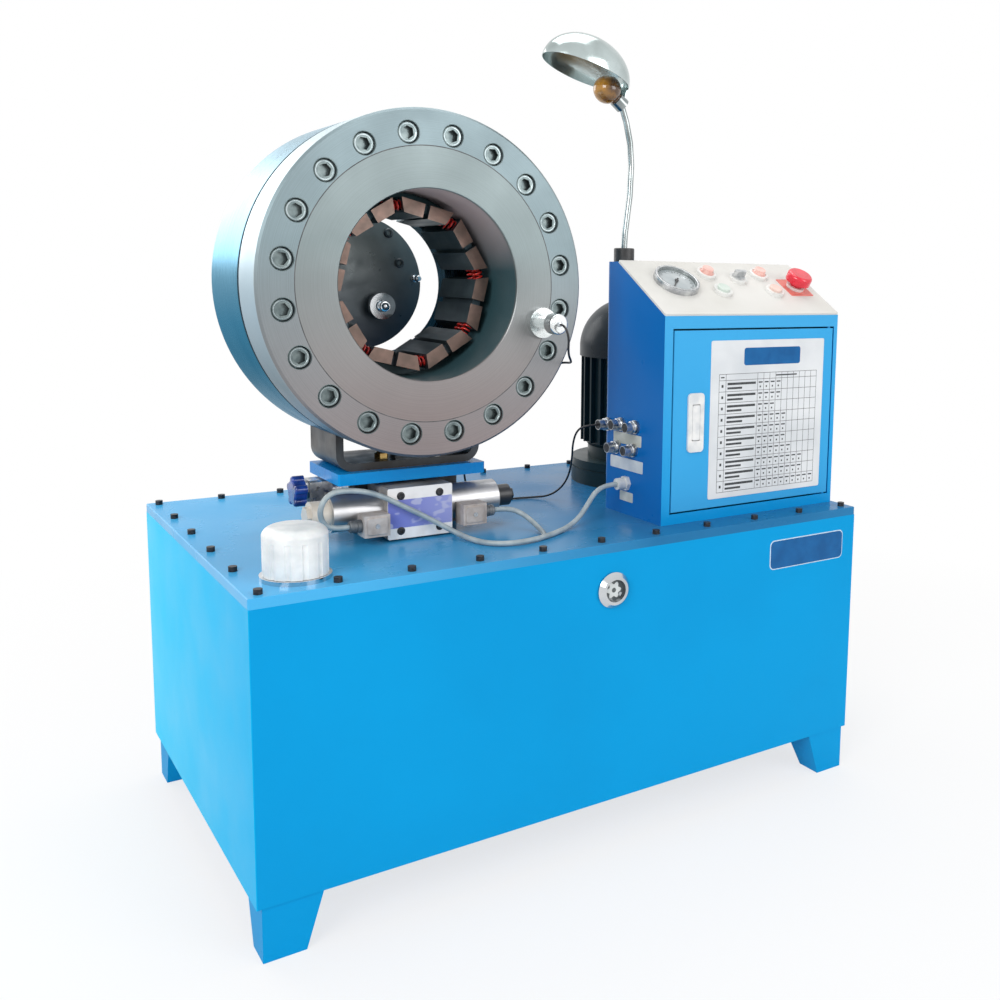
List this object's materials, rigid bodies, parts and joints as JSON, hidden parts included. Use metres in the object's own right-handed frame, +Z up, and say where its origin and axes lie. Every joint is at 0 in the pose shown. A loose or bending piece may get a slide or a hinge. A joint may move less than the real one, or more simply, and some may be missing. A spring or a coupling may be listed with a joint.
{
  "type": "hose crimping machine",
  "caption": "Hydraulic hose crimping machine: round crimping head with sliding jaws on an oil tank, with valve group, pump motor, control cabinet and work lamp.",
  "frame": {"origin": "on the floor, under the middle of the outline", "axes": "+X along the tank from the head to the cabinet, +Y from the front to the back, +Z up"},
  "size_m": [0.91, 0.558, 1.1007],
  "materials": {
    "tank_blue": "semi-gloss enamel",
    "cabinet_blue": "semi-gloss enamel",
    "ground_steel": "fine turned",
    "bright_steel": "bright turned",
    "jaw_steel": "ground",
    "dark_steel": "blackened",
    "black_screws": "blackened",
    "zinc": "zinc plated",
    "chrome_fitting": "polished",
    "spring_red": "gloss",
    "clear_lens": "clear",
    "breather_white": "satin",
    "valve_grey": "satin",
    "coil_silver": "satin",
    "plug_grey": "matt",
    "panel_white": "satin",
    "black_plastic": "satin",
    "lamp_pink": "gloss",
    "button_pale_green": "gloss",
    "button_pink": "gloss",
    "estop_red": "gloss",
    "lock_white": "satin",
    "gear_beige": "matt",
    "motor_dark": "enamel",
    "pump_iron": "as cast",
    "wheel_blue": "gloss",
    "bulb_amber": "coated",
    "cable_grey": "matt",
    "cable_black": "matt",
    "gland_white": "matt"
  },
  "bodies": {
    "frame": {"tank_body": "tank_blue", "tank_lid": "tank_blue", "lid_bolts": "black_screws", "sight_glass_ring": "chrome_fitting", "sight_glass_lens": "clear_lens", "breather_base": "zinc", "front_flange": "ground_steel", "gland_ring": "ground_steel", "barrel": "bright_steel", "flange_screws": "zinc", "jaw_springs": "spring_red", "stop_carrier": "ground_steel", "sensor_probe": "chrome_fitting", "mounting_plate": "tank_blue", "head_saddle": "dark_steel", "manifold_block": "dark_steel", "valve_body": "valve_grey", "solenoid_coils": "coil_silver", "solenoid_plugs": "plug_grey", "relief_valve": "zinc", "cabinet_shell": "cabinet_blue", "control_panel": "panel_white", "gauge_case": "plug_grey", "pilot_lamps": "lamp_pink", "panel_bezels": "zinc", "cabinet_connectors": "zinc", "cable_gland": "gland_white", "control_gear": "gear_beige", "motor_body": "motor_dark", "fan_cowl": "motor_dark", "oil_pump": "pump_iron", "lamp_base": "black_plastic", "solenoid_cable_1": "cable_grey", "solenoid_cable_2": "cable_grey", "sensor_lead": "cable_black"},
    "pressing_ring": {"piston_ring": "ground_steel"},
    "jaw_1": {"jaw_1": "jaw_steel"},
    "jaw_2": {"jaw_2": "jaw_steel"},
    "jaw_3": {"jaw_3": "jaw_steel"},
    "jaw_4": {"jaw_4": "jaw_steel"},
    "jaw_5": {"jaw_5": "jaw_steel"},
    "jaw_6": {"jaw_6": "jaw_steel"},
    "jaw_7": {"jaw_7": "jaw_steel"},
    "jaw_8": {"jaw_8": "jaw_steel"},
    "door": {"cabinet_door": "cabinet_blue", "lock_body": "lock_white"},
    "lock_lever": {"lock_lever": "lock_white"},
    "button_1": {"push_button_1": "button_pale_green"},
    "button_2": {"push_button_2": "button_pink"},
    "selector": {"selector_switch": "lock_white"},
    "emergency_stop": {"emergency_stop": "estop_red"},
    "needle": {"gauge_needle": "black_plastic"},
    "handwheel": {"relief_handwheel": "wheel_blue"},
    "filler_cap": {"breather_cap": "breather_white"},
    "stop_spindle": {"stop_spindle": "chrome_fitting"},
    "spool": {"valve_spool": "zinc"},
    "rotor": {"motor_rotor": "zinc"},
    "lamp": {"lamp_tube": "chrome_fitting", "lamp_bulb": "bulb_amber", "lamp_shade": "chrome_fitting"}
  },
  "joints": [
    {"name": "pressing_ring_slide", "type": "slide", "parent": "frame", "child": "pressing_ring", "axis": [0, 1, 0], "range_m": [0, 0.032], "deforming": ["jaw_springs"]},
    {"name": "jaw_1_slide", "type": "slide", "parent": "frame", "child": "jaw_1", "axis": [-0.8526, 0, -0.5225], "range_m": [0, 0.016]},
    {"name": "jaw_2_slide", "type": "slide", "parent": "frame", "child": "jaw_2", "axis": [-0.2334, 0, -0.9724], "range_m": [0, 0.016]},
    {"name": "jaw_3_slide", "type": "slide", "parent": "frame", "child": "jaw_3", "axis": [0.5225, 0, -0.8526], "range_m": [0, 0.016]},
    {"name": "jaw_4_slide", "type": "slide", "parent": "frame", "child": "jaw_4", "axis": [0.9724, 0, -0.2334], "range_m": [0, 0.016]},
    {"name": "jaw_5_slide", "type": "slide", "parent": "frame", "child": "jaw_5", "axis": [0.8526, 0, 0.5225], "range_m": [0, 0.016]},
    {"name": "jaw_6_slide", "type": "slide", "parent": "frame", "child": "jaw_6", "axis": [0.2334, 0, 0.9724], "range_m": [0, 0.016]},
    {"name": "jaw_7_slide", "type": "slide", "parent": "frame", "child": "jaw_7", "axis": [-0.5225, 0, 0.8526], "range_m": [0, 0.016]},
    {"name": "jaw_8_slide", "type": "slide", "parent": "frame", "child": "jaw_8", "axis": [-0.9724, 0, 0.2334], "range_m": [0, 0.016]},
    {"name": "door_hinge", "type": "hinge", "parent": "frame", "child": "door", "pos_m": [0.434, -0.219, 0.565], "axis": [0, 0, 1], "range_deg": [0, 110]},
    {"name": "lock_lever_hinge", "type": "hinge", "parent": "door", "child": "lock_lever", "pos_m": [0.175, -0.2245, 0.583], "axis": [-1, 0, 0], "range_deg": [0, 40]},
    {"name": "button_1_slide", "type": "slide", "parent": "frame", "child": "button_1", "axis": [0, 0.5281, -0.8492], "range_m": [0, 0.004], "stiffness_N_per_m": 300},
    {"name": "button_2_slide", "type": "slide", "parent": "frame", "child": "button_2", "axis": [0, 0.5281, -0.8492], "range_m": [0, 0.004], "stiffness_N_per_m": 300},
    {"name": "selector_turn", "type": "hinge", "parent": "frame", "child": "selector", "pos_m": [0.309, -0.14746, 0.76413], "axis": [0, -0.5281, 0.8492], "range_deg": [-45, 45]},
    {"name": "emergency_stop_slide", "type": "slide", "parent": "frame", "child": "emergency_stop", "axis": [0, 0.5281, -0.8492], "range_m": [0, 0.006]},
    {"name": "needle_turn", "type": "hinge", "parent": "frame", "child": "needle", "pos_m": [0.185, -0.15765, 0.75779], "axis": [0, 0.5281, -0.8492], "range_deg": [0, 270]},
    {"name": "handwheel_turn", "type": "hinge", "parent": "frame", "child": "handwheel", "pos_m": [-0.311, -0.024, 0.479], "axis": [1, 0, 0], "continuous": true},
    {"name": "filler_cap_lift", "type": "slide", "parent": "frame", "child": "filler_cap", "axis": [0, 0, 1], "range_m": [0, 0.06]},
    {"name": "stop_spindle_slide", "type": "slide", "parent": "frame", "child": "stop_spindle", "axis": [0, 1, 0], "range_m": [-0.06, 0.012]},
    {"name": "spool_slide", "type": "slide", "parent": "frame", "child": "spool", "axis": [1, 0, 0], "range_m": [-0.003, 0.003], "stiffness_N_per_m": 800},
    {"name": "rotor_spin", "type": "hinge", "parent": "frame", "child": "rotor", "pos_m": [0.305, 0.089, 0.56], "axis": [0, 0, 1], "continuous": true},
    {"name": "lamp_swivel", "type": "hinge", "parent": "frame", "child": "lamp", "pos_m": [0.142, -0.087, 0.8], "axis": [0, 0, 1], "range_deg": [-150, 150]}
  ],
  "couplings": [
    {"joint": "jaw_1_slide", "follows": "pressing_ring_slide", "ratio": 0.5},
    {"joint": "jaw_2_slide", "follows": "pressing_ring_slide", "ratio": 0.5},
    {"joint": "jaw_3_slide", "follows": "pressing_ring_slide", "ratio": 0.5},
    {"joint": "jaw_4_slide", "follows": "pressing_ring_slide", "ratio": 0.5},
    {"joint": "jaw_5_slide", "follows": "pressing_ring_slide", "ratio": 0.5},
    {"joint": "jaw_6_slide", "follows": "pressing_ring_slide", "ratio": 0.5},
    {"joint": "jaw_7_slide", "follows": "pressing_ring_slide", "ratio": 0.5},
    {"joint": "jaw_8_slide", "follows": "pressing_ring_slide", "ratio": 0.5}
  ]
}
